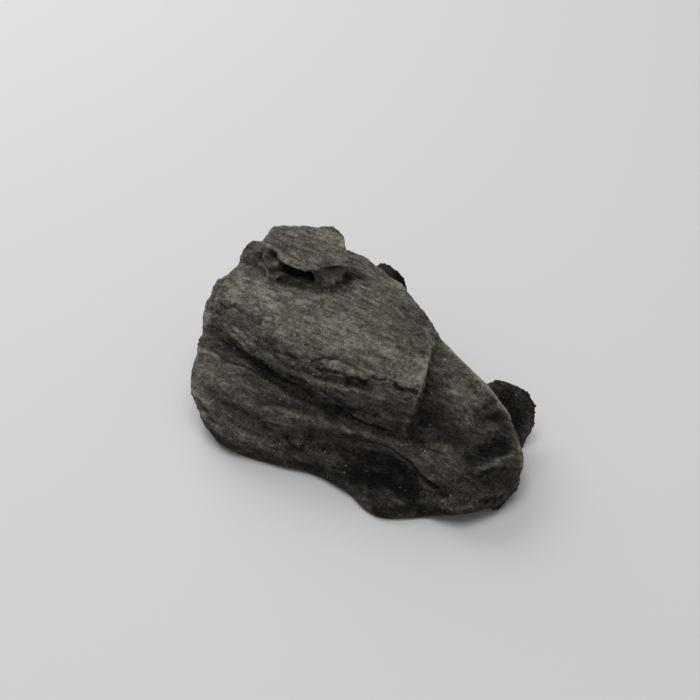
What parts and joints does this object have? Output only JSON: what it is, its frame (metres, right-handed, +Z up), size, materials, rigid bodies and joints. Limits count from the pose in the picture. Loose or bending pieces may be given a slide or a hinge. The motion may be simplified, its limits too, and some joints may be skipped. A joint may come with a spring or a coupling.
{
  "type": "granite rock",
  "caption": "Hand-sized natural stone with a worn top sheet, a raised flake and a rounded nose, lying on a flat underside.",
  "frame": {"origin": "centre of the bounding box's bottom face, on the surface that the stone lies on", "axes": "+X along the stone's length, towards its rounded nose; +Y to the back, away from the toe and the hollow; +Z up out of the resting face"},
  "size_m": [0.1086, 0.077, 0.043],
  "materials": {
    "stone": "matt dark grey-brown stone, fine speckled grain with small bright mica glints"
  },
  "bodies": {
    "root": {"rock": "stone"}
  },
  "joints": []
}
